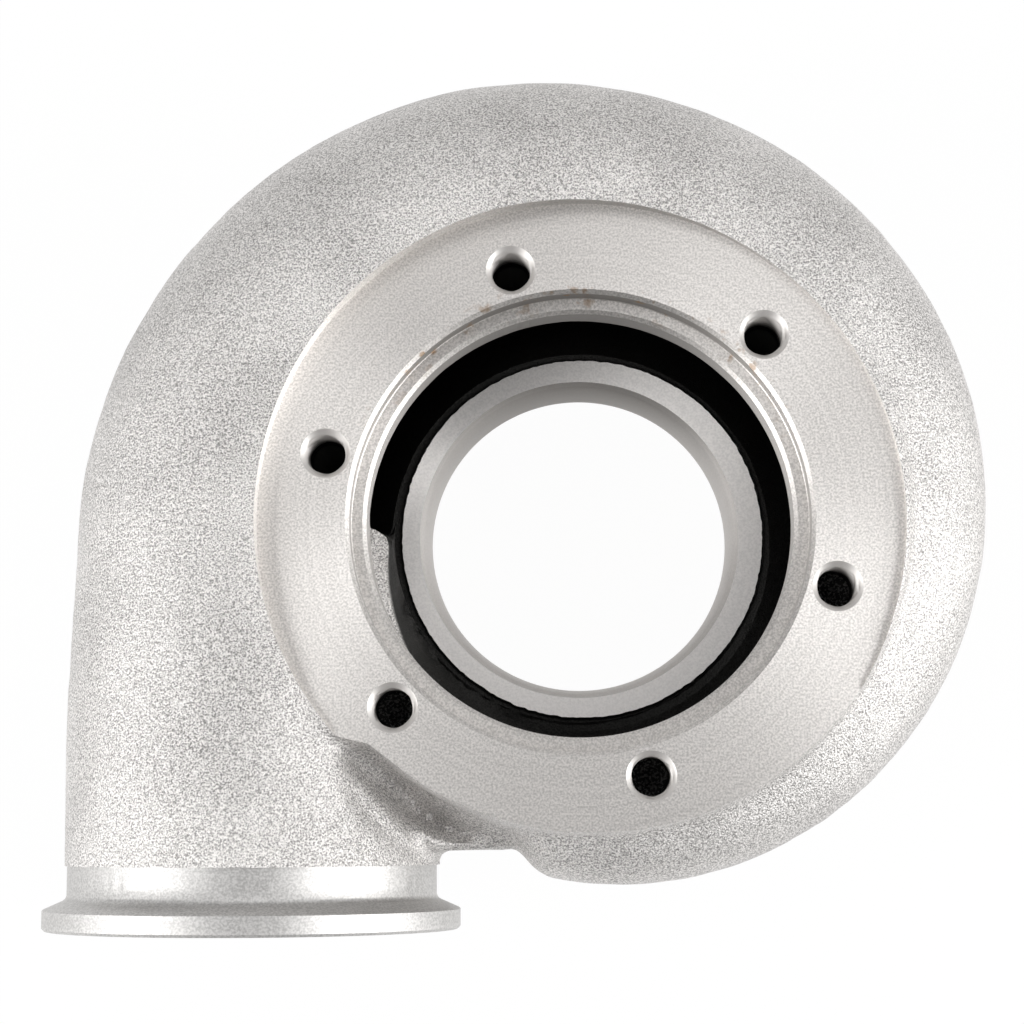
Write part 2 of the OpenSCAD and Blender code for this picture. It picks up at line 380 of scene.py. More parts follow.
def lathe_rings():
    group, given, out = new_group(
        "lathe rings",
        {
            "Vector": (VECTOR, (0.0, 0.0, 0.0)),
            "Centre": (VECTOR, (0.0, 0.0, 0.0)),
            "Across": (VECTOR, (1.0, 1.0, 0.0)),
            "Feed": (FLOAT, 0.0003),
            "Light Tone": (COLOUR, (0.89, 0.86, 0.832, 1.0)),
            "Dark Tone": (COLOUR, (0.62, 0.597, 0.574, 1.0)),
        },
        {"Tone": COLOUR, "Roughness": FLOAT, "Height": FLOAT},
    )

    def vector_math(operation, first, second=None):
        node = group.nodes.new("ShaderNodeVectorMath")
        node.operation = operation
        group.links.new(first, node.inputs[0])
        if second is not None:
            group.links.new(second, node.inputs[1])
        return node.outputs["Value" if operation == "LENGTH" else "Vector"]

    away = vector_math("SUBTRACT", given.outputs["Vector"], given.outputs["Centre"])
    flat = vector_math("MULTIPLY", away, given.outputs["Across"])
    along = vector_math("SUBTRACT", away, flat)
    path = Num(group, vector_math("LENGTH", flat)) + Num(group, vector_math("LENGTH", along))
    feed = Num(group, given.outputs["Feed"])
    ring = ((path / feed) * FULL_TURN).math("SINE") * 0.5 + 0.5
    band = group.nodes.new("ShaderNodeTexNoise")
    band.noise_dimensions = "1D"
    band.inputs["Scale"].default_value = 900.0
    band.inputs["Detail"].default_value = 3.0
    group.links.new(path.socket, band.inputs["W"])
    bands = Num(group, band.outputs["Fac"])
    speck = noise_node(group, given.outputs["Vector"], scale=2600.0, detail=1.0)
    cloud = noise_node(group, given.outputs["Vector"], scale=60.0, detail=3.0)
    share = limited(bands * 0.5 + speck * 3.0 + cloud * 0.3 - 1.37)
    tone = blend_colour(group, share, given.outputs["Dark Tone"], given.outputs["Light Tone"])
    group.links.new(tone, out.inputs["Tone"])
    group.links.new((0.42 + speck * 0.12 + bands * 0.08).socket, out.inputs["Roughness"])
    group.links.new((ring * 0.35 + bands * 0.5 + speck * 0.15).socket, out.inputs["Height"])
    return group


RINGS = lathe_rings()
print("The lathe rings take", len(RINGS.nodes), "nodes")

# %% [markdown]
# ## Materials
# Each finish is one material: the blasted skin, the turned faces, the cast passage with
# painted shade inside, and the tapped threads. The helper wires a group's outputs to the
# shader, its height through a Bump node, and hands the parts back, so that a finish can lay
# stains, painted shade and painted light over the tone.

# %% Material helper
def metal(name, group, settings, bump, distance, metallic):
    material = bpy.data.materials.new(name)
    material.use_nodes = True
    tree = material.node_tree
    shader = tree.nodes["Principled BSDF"]
    shader.inputs["Metallic"].default_value = metallic
    place = tree.nodes.new("ShaderNodeTexCoord")
    detail = tree.nodes.new("ShaderNodeGroup")
    detail.node_tree = group
    tree.links.new(place.outputs["Object"], detail.inputs["Vector"])
    for label, value in settings.items():
        detail.inputs[label].default_value = value
    lift = tree.nodes.new("ShaderNodeBump")
    lift.inputs["Strength"].default_value = bump
    lift.inputs["Distance"].default_value = distance
    tree.links.new(detail.outputs["Height"], lift.inputs["Height"])
    tree.links.new(lift.outputs["Normal"], shader.inputs["Normal"])
    tree.links.new(detail.outputs["Roughness"], shader.inputs["Roughness"])
    tree.links.new(detail.outputs["Tone"], shader.inputs["Base Color"])
    return material, tree, shader, detail.outputs["Tone"], place.outputs["Object"]


# %% [markdown]
# ### The finishes
# The passage is painted nearly black behind the slot and below it as painted shade, and
# less so towards the inlet. The turned finish is used twice, once about the turbine axis
# and once about the inlet axis. About the turbine axis its steep walls get painted shade,
# more towards the top, the shoulder round the face gets painted shade at the top, its faces
# deep in the bore get painted light, and a few specks of rust lie close to the register.
# Lengths in these formulas are in metres.

# %% The finishes
def turned(name, centre, across, tones):
    settings = {"Centre": centre, "Across": across, **tones}
    return metal(name, RINGS, settings, bump=0.12, distance=0.00008, metallic=1.0)


def turned_face():
    material, tree, shader, tone, place = turned(
        "turned_face", (0.0, 0.0, 0.0), (1.0, 1.0, 0.0), {}
    )
    shader.inputs["Anisotropic"].default_value = 0.7
    shader.inputs["Anisotropic Rotation"].default_value = 0.25
    along = tree.nodes.new("ShaderNodeTangent")
    along.direction_type = "RADIAL"
    along.axis = "Z"
    tree.links.new(along.outputs[0], shader.inputs["Tangent"])
    x, y, z = split(tree, place)
    radius = (x * x + y * y).math("SQRT")
    geometry = tree.nodes.new("ShaderNodeNewGeometry")
    facing = split(tree, geometry.outputs["Normal"])[2].math("ABSOLUTE")
    inside = limited((0.0565 - radius) / 0.0005) * limited((z + 0.045) / 0.004)
    # Painted shade: steep walls inside the face are painted darker, more towards the top, and so
    # is the shoulder round the face at its top.
    wall = limited((0.8 - facing) / 0.4)
    shoulder = limited((radius - 0.0565) / 0.0003)
    shoulder = shoulder * limited((y + x * 0.6 - 0.045) / 0.01) * 0.45
    painted_wall_shade = wall * (inside * (0.4 + limited(y / 0.04) * 0.5) + shoulder)
    # Painted light: turned faces more than 20 mm down in the bore are painted lighter.
    lip = limited((-z - 0.02) / 0.002) * inside * 0.58
    with_painted_deep_light = blend_colour(tree, lip, tone, (0.98, 0.955, 0.935))
    with_painted_wall_shade = blend_colour(tree, painted_wall_shade, with_painted_deep_light, (0.22, 0.21, 0.20))
    rust_radius, rust_narrowness = 0.0406, 380.0
    ring = 1.0 - limited(((radius - rust_radius) * rust_narrowness).math("ABSOLUTE"))
    ring = ring * limited((z + 0.007) / 0.001) * limited(y / 0.02 - 0.5)
    spots = limited((noise_node(tree, place, scale=380.0, detail=3.0) - 0.59) * 12.0)
    rust_over_painted_light_and_shade = blend_colour(tree, spots * ring * 0.75, with_painted_wall_shade, (0.33, 0.19, 0.08))
    tree.links.new(rust_over_painted_light_and_shade, shader.inputs["Base Color"])
    return material


def turned_inlet():
    centre = (-INLET["x"] * MM, 0.0, -INLET["depth"] * MM)
    tones = {"Light Tone": (0.65, 0.64, 0.627, 1.0), "Dark Tone": (0.46, 0.452, 0.443, 1.0)}
    return turned("turned_inlet", centre, (1.0, 0.0, 1.0), tones)[0]


def dark_passage():
    material, tree, shader, tone, place = metal(
        "passage_painted_dark", BLASTED, {}, bump=0.7, distance=0.0005, metallic=0.6
    )
    x, y, z = split(tree, place)
    radius = (x * x + y * y).math("SQRT")
    # Painted shade: behind the slot and below it the passage is painted nearly black and its
    # specular level is lowered, less so towards the inlet.
    under = limited((radius - 0.0382) / 0.0006)
    below = limited((-z - 0.0150) / 0.0016)
    far_in = limited((y + 0.060) / 0.020)
    painted_passage_shade = under.math("MAXIMUM", below) * (0.6 + far_in * 0.37)
    shaded = blend_colour(tree, painted_passage_shade, tone, (0.012, 0.012, 0.011))
    tree.links.new(shaded, shader.inputs["Base Color"])
    tree.links.new((0.5 - painted_passage_shade * 0.4).socket, shader.inputs["Specular IOR Level"])
    return material


def tapped_thread():
    settings = {"Depth": 0.2}
    material, tree, shader, _, place = metal(
        "tapped_thread", BLASTED, settings, bump=0.2, distance=0.0002, metallic=1.0
    )
    _, y, z = split(tree, place)
    # Painted shade: the holes are painted darker with depth.
    painted_hole_shade = limited((-z - 0.0055) / 0.0035)
    # Painted glints: lighter specks on the hole floors, only in the holes on the low side.
    floor = limited((-z - 0.0104) / 0.0002) * limited(0.5 - y / 0.01)
    rough_floor = noise_node(tree, place, scale=2200.0, detail=2.0)
    painted_floor_glints = limited((rough_floor - 0.5) * 5.0, high=0.3) * floor
    shaded = blend_colour(tree, painted_hole_shade, (0.7, 0.68, 0.66), (0.03, 0.03, 0.029))
    shaded = blend_colour(tree, painted_floor_glints, shaded, (0.55, 0.54, 0.53))
    tree.links.new(shaded, shader.inputs["Base Color"])
    return material


SKIN = metal(
    "blasted_cast_steel", BLASTED, {}, bump=0.75, distance=0.0004, metallic=0.85
)[0]
TURNED = turned_face()
TURNED_INLET = turned_inlet()
PASSAGE = dark_passage()
THREAD = tapped_thread()
print("Finishes:", [m.name for m in (SKIN, TURNED, TURNED_INLET, PASSAGE, THREAD)])

# %% [markdown]
# ## The scroll as a rule
# A section is a round tube that opens inwards: a round outer side, and straight sides
# that run tangent from it to two inner points. The tree starts from a plain cylinder,
# reads each point's place round and along it, and moves it to its place in the scroll.
# The outside and the gas passage follow the same rule with a wall between them.

# %% The section rule
DUCT_RINGS = 14
SCROLL_RINGS = 120
ARC_POINTS = 40
BACK_POINTS = 11
ROUND_POINTS = ARC_POINTS + BACK_POINTS + 3
TONGUE_SHARE = 0.01
OVERRUN = 1.07
CLOSED_BACK = 1.003
THINNING = [(0.5, 0.27, 4.4), (0.77, 0.13, 9.1), (0.9, 0.1, -0.4)]


def touch(point_r, point_z, centre_r, centre_z, radius, side, around):
    gap_r = point_r - centre_r
    gap_z = point_z - centre_z
    bearing = gap_z.math("ARCTAN2", gap_r)
    if around:
        bearing = bearing + bearing.math("LESS_THAN", -PI / 2) * (2 * PI)
    distance = (gap_r * gap_r + gap_z * gap_z).math("SQRT")
    return bearing + (radius / distance).math("MINIMUM", 1.0).math("ARCCOSINE") * side


def section_point(index, centre_r, centre_z, radius, upper, lower, opened):
    back_share = limited((index - (ARC_POINTS + 2)) / (BACK_POINTS + 1))
    is_top = index.math("LESS_THAN", 0.5)
    back_share = mix(back_share, 1.0, is_top)

    def inner(share):
        angle = 1.25 * PI - 0.5 * PI * share
        round_r = centre_r + angle.math("COSINE") * radius * CLOSED_BACK
        round_z = centre_z + angle.math("SINE") * radius * CLOSED_BACK
        return (
            mix(round_r, mix(lower[0], upper[0], share), opened),
            mix(round_z, mix(lower[1], upper[1], share), opened),
        )

    zero = radius.constant(0.0)
    one = radius.constant(1.0)
    start = touch(*inner(one), centre_r, centre_z, radius, -1.0, False)
    stop = touch(*inner(zero), centre_r, centre_z, radius, 1.0, True) - 2 * PI
    angle = mix(start, stop, limited((index - 1.0) / ARC_POINTS))
    arc_r = centre_r + angle.math("COSINE") * radius
    arc_z = centre_z + angle.math("SINE") * radius
    on_arc = (index - 0.5).math("GREATER_THAN", 0.0) * index.math("LESS_THAN", ARC_POINTS + 1.5)
    back_r, back_z = inner(back_share)
    return mix(back_r, arc_r, on_arc), mix(back_z, arc_z, on_arc)


print("The tube has", ROUND_POINTS, "points a ring, and", SCROLL_RINGS, "rings on the scroll")

# %% [markdown]
# The spiral loses its radius evenly with the turn, with an eased start after the tongue.
# From half a turn on the passage falls faster, and the outside follows it in the last
# quarter: each row of THINNING gives where a fall starts, how long it takes and how deep
# it goes. The duct before the tongue is a round tube that widens to the inlet.

# %% The scroll tree
def scroll_tree(name, sizes, passage):
    tree, v, finish = new_tree(name, sizes)
    segments = DUCT_RINGS + SCROLL_RINGS + 1
    tube, (x, y, z) = unit_tube(tree, ROUND_POINTS, segments)
    ring = ((z + 0.5) * segments).math("ROUND")
    round_angle = y.math("ARCTAN2", x)
    round_angle = round_angle + round_angle.math("LESS_THAN", -0.001) * (2 * PI)
    index = (round_angle / (2 * PI) * ROUND_POINTS).math("ROUND")

    in_duct = ring.math("LESS_THAN", DUCT_RINGS + 0.5)
    share = limited((DUCT_RINGS - ring) / DUCT_RINGS * OVERRUN, TONGUE_SHARE, OVERRUN)
    turn = limited((ring - (DUCT_RINGS + 1)) / SCROLL_RINGS) * v["Last Turn"]

    def spiral(place_in_turn):
        early = (1.0 - place_in_turn / v["Ease"]).math("MAXIMUM", 0.0)
        slip = (v["Spiral Radius"] - v["Start Radius"]) * early * early
        return v["Spiral Radius"] - v["Fall per Turn"] * place_in_turn - slip

    def tube_radius(outer):
        return (outer - v["Inner Radius"]) * 0.5

    def centre_height(place_in_turn):
        fallen = limited((place_in_turn - 0.2) / 0.8).math("POWER", 0.9)
        crown = v["Crown Start"] - (v["Crown Start"] + v["Crown End"]) * fallen
        return crown - tube_radius(spiral(place_in_turn))

    thinning = turn.constant(0.0)
    for start, length, depth in THINNING:
        thinning = thinning + limited((turn - start) / length) * depth
    thinning = thinning * eased(turn, v["Thin From"], v["Thin Over"])
    outer = spiral(turn) - thinning - v["Wall"]
    scroll_z = centre_height(turn)
    if passage:
        scroll_radius = (tube_radius(outer) - v["Wall"] * 0.5).math("MAXIMUM", 1.5)
        level = -SLOT_TOP + ROOF_RISE - scroll_radius
        scroll_z = mix(scroll_z, level, eased(turn, LATE_RISE_START, LATE_RISE_OVER))
    else:
        scroll_radius = tube_radius(outer)
    scroll_r = outer - scroll_radius

    start_tube = tube_radius(v["Start Radius"])
    duct_tube = mix(start_tube, v["Duct Radius"], share)
    swung = v["Start Radius"] + v["Duct Swing"] * (share * (PI / 2)).math("SINE")
    duct_r = mix(swung, v["Inlet Side"], share * share) - duct_tube
    duct_z = mix(centre_height(turn.constant(0.0)), -v["Inlet Depth"], share)

    centre_r = mix(scroll_r, duct_r, in_duct)
    centre_z = mix(scroll_z, duct_z, in_duct)
    radius = mix(scroll_radius, duct_tube - v["Wall"], in_duct)
    if passage:
        lower_r = (outer - scroll_radius * 2.0).math("MINIMUM", LIP["outer"] + LIP["offset"])
        upper = (
            lower_r.math("MINIMUM", LIP["inner"] + 0.5),
            lower_r.constant(-SLOT_TOP + MOUTH_RISE),
        )
        lower = (lower_r, lower_r.constant(-LIP["depth"]))
        duct_open = turn.constant(0.0)
    else:
        upper = (v["Core Radius"], centre_z + radius)
        lower = (v["Core Radius"], centre_z - radius * 0.96)
        duct_open = (1.0 - share * 1.8).math("MAXIMUM", 0.0).math("POWER", 1.5)
    opened = mix(turn.constant(1.0), duct_open, in_duct)
    point_r, point_z = section_point(index, centre_r, centre_z, radius, upper, lower, opened)

    angle = mix((v["Tongue Angle"] - turn * 360.0) * (PI / 180), PI, in_duct)
    shift = -(share * v["Duct End"]) * in_duct
    east = point_r * angle.math("COSINE")
    north = point_r * angle.math("SINE") + shift
    end_tree(tree, moved(tree, tube, east, north, point_z), finish)
    return tree


# %% Grow the outside and the passage
OUTSIDE = {"Wall": 0.0, "Last Turn": 0.82, "Thin From": FULL_SCROLL_END, "Thin Over": 0.026}
INSIDE = {"Wall": WALL, "Last Turn": 0.995, "Thin From": 0.3, "Thin Over": 0.2}
outside_sizes = {**SCROLL, **OUTSIDE}
outside_tree = scroll_tree("scroll outside", outside_sizes, passage=False)
outside = grown("scroll_outside", outside_tree, outside_sizes, SKIN)
passage_sizes = {**SCROLL, **INSIDE}
passage_tree = scroll_tree("gas passage", passage_sizes, passage=True)
passage = grown("gas_passage", passage_tree, passage_sizes, PASSAGE)

# %% [markdown]
# ## Turned solids
# Everything that a lathe makes is a closed profile spun about an axis. Points on the axis
# become one vertex, so that the poles are closed.

# %% The lathe
def lathe(name, profile, finish, steps=180, place=Matrix.Identity(4)):
    shape = bmesh.new()
    rings = []
    for radius, height in profile:
        if radius < 1e-6:
            rings.append([shape.verts.new(place @ Vector((0.0, 0.0, height * MM)))])
            continue
        ring = []
        for step in range(steps):
            angle = 2 * PI * step / steps
            spot = Vector((radius * math.cos(angle), radius * math.sin(angle), height)) * MM
            ring.append(shape.verts.new(place @ spot))
        rings.append(ring)
    for first, second in zip(rings, rings[1:] + rings[:1]):
        if len(first) == 1 and len(second) == 1:
            continue
        for i in range(steps):
            k = (i + 1) % steps
            if len(first) == 1:
                shape.faces.new((first[0], second[i], second[k]))
            elif len(second) == 1:
                shape.faces.new((first[i], second[0], first[k]))
            else:
                shape.faces.new((first[i], first[k], second[k], second[i]))
    return outward(from_shape(name, shape, finish))


INLET_PLACE = (
    Matrix.Translation(Vector((-INLET["x"], -INLET["face"], -INLET["depth"])) * MM)
    @ Matrix.Rotation(-PI / 2, 4, "X")
)
OUTLET_PLACE = Matrix.Translation((0.0, 0.0, -OUTLET["depth"] * MM))
print("The inlet axis starts at", [round(v, 3) for v in INLET_PLACE.translation])

# %% [markdown]
# ## Merging into one casting
# A foundry pattern has soft inner corners. A voxel remesh melts the overlapping solids
# into one skin, and a few smoothing passes round the corners where they meet. Slow noise
# then moves the skin by a tenth of a millimetre, as a sand mould does.

# %% Melt, smooth and join
def melted(objects, name, voxel, passes, finish):
    for obj in objects:
        obj.select_set(True)
    bpy.context.view_layer.objects.active = objects[0]
    with bpy.context.temp_override(
        active_object=objects[0], selected_editable_objects=objects, selected_objects=objects
    ):
        if len(objects) > 1:
            bpy.ops.object.join()
    obj = objects[0]
    remesh = obj.modifiers.new("melt", "REMESH")
    remesh.mode = "VOXEL"
    remesh.voxel_size = voxel * MM
    smooth = obj.modifiers.new("soften", "SMOOTH")
    smooth.factor = 0.5
    smooth.iterations = passes
    obj = evaluated(obj)
    obj.name = name
    obj.data.materials.clear()
    obj.data.materials.append(finish)
    print(name, "has", len(obj.data.polygons), "faces after the remesh")
    return obj


def cut(target, tool, operation):
    modifier = target.modifiers.new(operation, "BOOLEAN")
    modifier.operation = operation
    modifier.solver = "MANIFOLD"
    modifier.object = tool
    for material in tool.data.materials:
        if material.name not in target.data.materials:
            target.data.materials.append(material)
    result = evaluated(target)
    bpy.data.objects.remove(tool)
    return result


# %% The cast blank
tube_end = -OUTLET["depth"] + RIM["edge"] + RIM["slope"] + RIM["neck"] - 3.0
core = lathe(
    "core",
    [
        (0.0, -1.0),
        (PAD["radius"] - 3.0, -1.0),
        (PAD["radius"] - 3.0, -26.0),
        (OUTLET["tube"] + 2.0, -44.0),
        (OUTLET["tube"], -50.0),
        (OUTLET["tube"], tube_end),
        (0.0, tube_end),
    ],
    SKIN,
)
pad = lathe(
    "pad",
    [
        (0.0, PAD_TOP),
        (PAD["radius"] - 0.1, PAD_TOP),
        (PAD["radius"] + PAD["draft"], -PAD["depth"]),
        (0.0, -PAD["depth"]),
    ],
    SKIN,
    place=Matrix.Translation((PAD["x"] * MM, PAD["y"] * MM, 0.0)),
)


def web():
    low, high = WEB["y"]
    ball = WEB["round"]
    shape = bmesh.new()
    for x in WEB["x"]:
        for z in WEB["z"]:
            for y in (low + ball, high - ball):
                place = Matrix.Translation(Vector((x, y, z)) * MM)
                bmesh.ops.create_icosphere(shape, subdivisions=3, radius=ball * MM, matrix=place)
    bmesh.ops.convex_hull(shape, input=shape.verts)
    inner = [v for v in shape.verts if not v.link_faces]
    bmesh.ops.delete(shape, geom=inner, context="VERTS")
    return outward(from_shape("web", shape, SKIN))


lobe = lathe(
    "pad_lobe",
    [
        (0.0, PAD_TOP),
        (LOBE["radius"], PAD_TOP),
        (LOBE["foot"], -LOBE["depth"]),
        (0.0, -LOBE["depth"]),
    ],
    SKIN,
    steps=60,
    place=Matrix.Translation((LOBE["x"] * MM, LOBE["y"] * MM, 0.0)),
)
casting = melted(
    [outside, core, pad, lobe, web()], "turbine_casting", voxel=1.2, passes=7, finish=SKIN
)

# %% Waves of the mould
def wave_skin(obj, size, depth):
    normals = [vertex.normal.copy() for vertex in obj.data.vertices]
    for vertex, normal in zip(obj.data.vertices, normals):
        sway = noise.noise(vertex.co / (size * MM))
        fine = noise.noise(vertex.co / (size * 0.35 * MM))
        vertex.co += normal * (sway + 0.5 * fine) * depth * MM
    print(obj.name, "sways by about", depth, "mm over waves of", size, "mm")


wave_skin(casting, size=9.0, depth=0.16)

# %% [markdown]
# Where the inlet duct runs past the mounting pad, the pattern leaves a deep valley along
# the pad, a soft ridge beside it and a crease beyond that. They are worked into the skin
# the way clay is: the points near a line move, and the move fades out with the distance
# from it. Each point of a line gives x, y and how much of the full depth is reached there.

# %% The valley beside the pad
VALLEY = [
    (-41.7, -39.7, 0.2),
    (-35.5, -45.3, 1.0),
    (-30.5, -50.3, 1.0),
    (-23.0, -54.1, 0.8),
    (-13.5, -56.0, 0.3),
]
RIDGE = [(-40.0, -40.5, 0.0), (-37.0, -43.8, 1.0), (-32.0, -49.4, 1.0), (-26.5, -56.0, 0.6)]
CREASE = [(-42.5, -44.5, 0.0), (-40.0, -47.5, 1.0), (-36.0, -52.2, 1.0), (-31.0, -57.5, 0.4)]


def along_line(obj, path, width, depth, bottom):
    count = 0
    for vertex in obj.data.vertices:
        x, y, z = vertex.co / MM
        if z < bottom or not (-60.0 < x < 0.0 and -70.0 < y < -28.0):
            continue
        nearest, strength = 1e9, 0.0
        for (x0, y0, s0), (x1, y1, s1) in zip(path, path[1:]):
            run = Vector((x1 - x0, y1 - y0))
            share = (x - x0) * run.x + (y - y0) * run.y
            share = max(0.0, min(1.0, share / run.length_squared))
            gap = math.hypot(x - x0 - run.x * share, y - y0 - run.y * share)
            if gap < nearest:
                nearest, strength = gap, s0 + (s1 - s0) * share
        near_face = max(0.0, min(1.0, (2.0 - z) / 5.0))
        fade = strength * near_face * math.exp(-((nearest / width) ** 2))
        if fade > 0.01:
            vertex.co.z += depth * MM * fade
            count += 1
    print("Moved", count, "points by up to", depth, "mm")


along_line(casting, VALLEY, width=2.3, depth=-7.0, bottom=-34.0)
along_line(casting, RIDGE, width=1.5, depth=2.4, bottom=-40.0)
along_line(casting, CREASE, width=1.5, depth=-1.4, bottom=-40.0)

# %% [markdown]
# ## The gas passage
# The metal behind the bolts stays in the passage as a thick land, so the land is taken
# out of the passage tool before the tool hollows the casting.

# %% Hollow the casting
land = lathe(
    "bolt_land",
    [
        (BORE_R - 0.5, 1.0),
        (BORE_R - 0.5, -SLOT_TOP + 1.0),
        (BORE_R + 0.5, -SLOT_TOP),
        (BORE_R + 4.5, -LAND_DEPTH),
        (BOLT["circle"] / 2 + BOLT["drill"] + 2.0, -LAND_DEPTH),
        (FACE_R + 5.0, -1.0),
        (FACE_R + 5.0, 1.0),
    ],
    PASSAGE,
)
passage = cut(passage, land, "DIFFERENCE")
passage = melted([passage], "gas_passage", voxel=1.7, passes=2, finish=PASSAGE)
wave_skin(passage, size=6.0, depth=0.12)
casting = cut(casting, passage, "DIFFERENCE")
print("The hollow casting has", len(casting.data.polygons), "faces")

# %% [markdown]
# ## Turning the faces
# The lathe takes the neck of each end down to a clean shoulder, and the rims for the band
# clamps are put on as turned rings. Then the face, register, bore, wheel space, shroud
# and outlet are cut in one profile about the turbine axis.

# %% Necks and clamp rims
def neck_cutter(name, rim_r, neck_r, finish, place):
    top = RIM["edge"] + RIM["slope"] + RIM["neck"]
    return lathe(
        name,
        [(neck_r, -8.0), (rim_r + 14.0, -8.0), (rim_r + 14.0, top), (neck_r, top)],
        finish,
        place=place,
    )


def clamp_rim(name, rim_r, neck_r, bore_r, finish, place):
    back = RIM["edge"] + RIM["slope"]
    chamfer = RIM["chamfer"]
    return lathe(
        name,
        [
            (bore_r - 1.0, 0.0),
            (rim_r - chamfer, 0.0),
            (rim_r, chamfer),
            (rim_r, RIM["edge"] - chamfer / 2),
            (rim_r - chamfer / 2, RIM["edge"]),
            (neck_r + 1.3, back - 0.35),
            (neck_r + 0.6, back - 0.02),
            (neck_r + 0.2, back + 0.35),
            (neck_r, back + 0.9),
            (neck_r, back + RIM["neck"] + 0.5),
            (bore_r - 1.0, back + RIM["neck"] + 0.5),
        ],
        finish,
        place=place,
    )


ENDS = [
    ("inlet", INLET, TURNED_INLET, INLET_PLACE),
    ("outlet", OUTLET, TURNED, OUTLET_PLACE),
]
for name, end, finish, place in ENDS:
    cutter = neck_cutter(name + "_neck_cut", end["rim"], end["neck"], finish, place)
    casting = cut(casting, cutter, "DIFFERENCE")
for name, end, finish, place in ENDS:
    rim = clamp_rim(name + "_rim", end["rim"], end["neck"], end["bore"], finish, place)
    casting = cut(casting, rim, "UNION")
    print("The", name, "has a rim of", 2 * end["rim"], "mm on a neck of", 2 * end["neck"], "mm")

# %% The turbine bore
CONTOUR = [
    (
        EXDUCER["radius"] + (LIP["inner"] - EXDUCER["radius"]) * (1 - math.sin(a)),
        -LIP["depth"] - (EXDUCER["depth"] - LIP["depth"]) * (1 - math.cos(a)),
    )
    for a in [PI / 2 * i / 12 for i in range(3, 12)]
]
turbine_bore = lathe(
    "turbine_bore",
    [
        (0.0, 30.0),
        (FACE_R, 30.0),
        (FACE_R, 0.0),
        (REGISTER["radius"] + REGISTER["chamfer"], 0.0),
        (REGISTER["radius"], -REGISTER["chamfer"]),
        (REGISTER["radius"], -REGISTER["depth"] + 0.15),
        (REGISTER["radius"] - 0.15, -REGISTER["depth"]),
        (BORE_R + REGISTER["chamfer"], -REGISTER["depth"]),
        (BORE_R, -REGISTER["depth"] - REGISTER["chamfer"]),
        (BORE_R, -SLOT_TOP - 0.01),
        (LIP["outer"] + LIP["offset"], -SLOT_TOP - 0.01),
        (LIP["outer"] + LIP["offset"], -LIP["depth"]),
        (LIP["inner"] - 0.7, -LIP["depth"]),
        *CONTOUR,
        (EXDUCER["radius"], -EXDUCER["depth"]),
        (EXDUCER["radius"], -EXDUCER["depth"] - EXDUCER["land"]),
        (OUTLET["bore"], -OUTLET["flare"]),
        (OUTLET["bore"], -OUTLET["depth"] - 1.0),
        (0.0, -OUTLET["depth"] - 1.0),
    ],
    TURNED,
    steps=240,
)
casting = cut(casting, turbine_bore, "DIFFERENCE")
print("Bored:", len(casting.data.polygons), "faces, wheel opening", 2 * EXDUCER["radius"], "mm")

# %% [markdown]
# ### Cast edges inside the slot
# Two places inside were cast and never turned: the back of the tongue, which ramps down
# from the slot's roof, and the outer edge of the shroud lip, which is slightly ragged and
# a little off the axis. Each is a ring whose radius or depth changes with the angle.

# %% Rings that follow the angle
def wavy_ring(name, inner, outer, top, bottom, finish, steps=300, slant=0.0):
    shape = bmesh.new()
    rows = []
    for step in range(steps):
        angle = 2 * PI * step / steps
        corners = []
        for radius, height in (
            (inner(angle) - slant, top),
            (outer(angle), top),
            (outer(angle), bottom(angle)),
            (inner(angle) + slant, bottom(angle)),
        ):
            spot = (radius * math.cos(angle), radius * math.sin(angle), height)
            corners.append(shape.verts.new(Vector(spot) * MM))
        rows.append(corners)
    for first, second in zip(rows, rows[1:] + rows[:1]):
        for i in range(4):
            k = (i + 1) % 4
            shape.faces.new((first[i], second[i], second[k], first[k]))
    return outward(from_shape(name, shape, finish))


def ragged(angle, size, depth):
    spot = Vector((math.cos(angle), math.sin(angle), 0.0)) * LIP["outer"] / size
    return depth * noise.noise(spot)


# %% The back of the tongue
RAMP_ANGLE, RAMP_END, RAMP_FALL = 34.0, 60.0, 2.6


def ramp_depth(angle):
    past_tongue = (math.degrees(angle) - SCROLL["Tongue Angle"]) % 360.0
    share = max(0.0, min(1.0, past_tongue / RAMP_ANGLE))
    if past_tongue > RAMP_END:
        share = 0.0
    return -SLOT_TOP - 0.6 - RAMP_FALL * share ** 1.4 + ragged(angle, 1.3, 0.25)


tongue_back = wavy_ring(
    "tongue_back",
    lambda angle: LIP["outer"] + LIP["offset"] - 0.4,
    lambda angle: BORE_R - 0.05 + ragged(angle, 1.6, 0.12),
    -SLOT_TOP + 0.6,
    ramp_depth,
    PASSAGE,
)
casting = cut(casting, tongue_back, "DIFFERENCE")
print("The ramp behind the tongue falls by", RAMP_FALL, "mm")

# %% The edge of the lip
LIP_HEADING = math.radians(20.0)


def lip_radius(angle):
    off_axis = LIP["offset"] * math.cos(angle - LIP_HEADING)
    return LIP["outer"] - 0.1 + off_axis + ragged(angle, 1.1, 0.14) + ragged(angle, 0.4, 0.14)


lip_edge = wavy_ring(
    "lip_edge",
    lip_radius,
    lambda angle: LIP["outer"] + LIP["offset"] + 1.6,
    -LIP["depth"] + 0.7,
    lambda angle: -LIP["depth"] - 0.9,
    PASSAGE,
    slant=0.45,
)
casting = cut(casting, lip_edge, "DIFFERENCE")
lip_radii = [lip_radius(math.radians(angle)) for angle in range(360)]
print("The lip's edge lies", round(min(lip_radii), 1), "to", round(max(lip_radii), 1), "mm out")

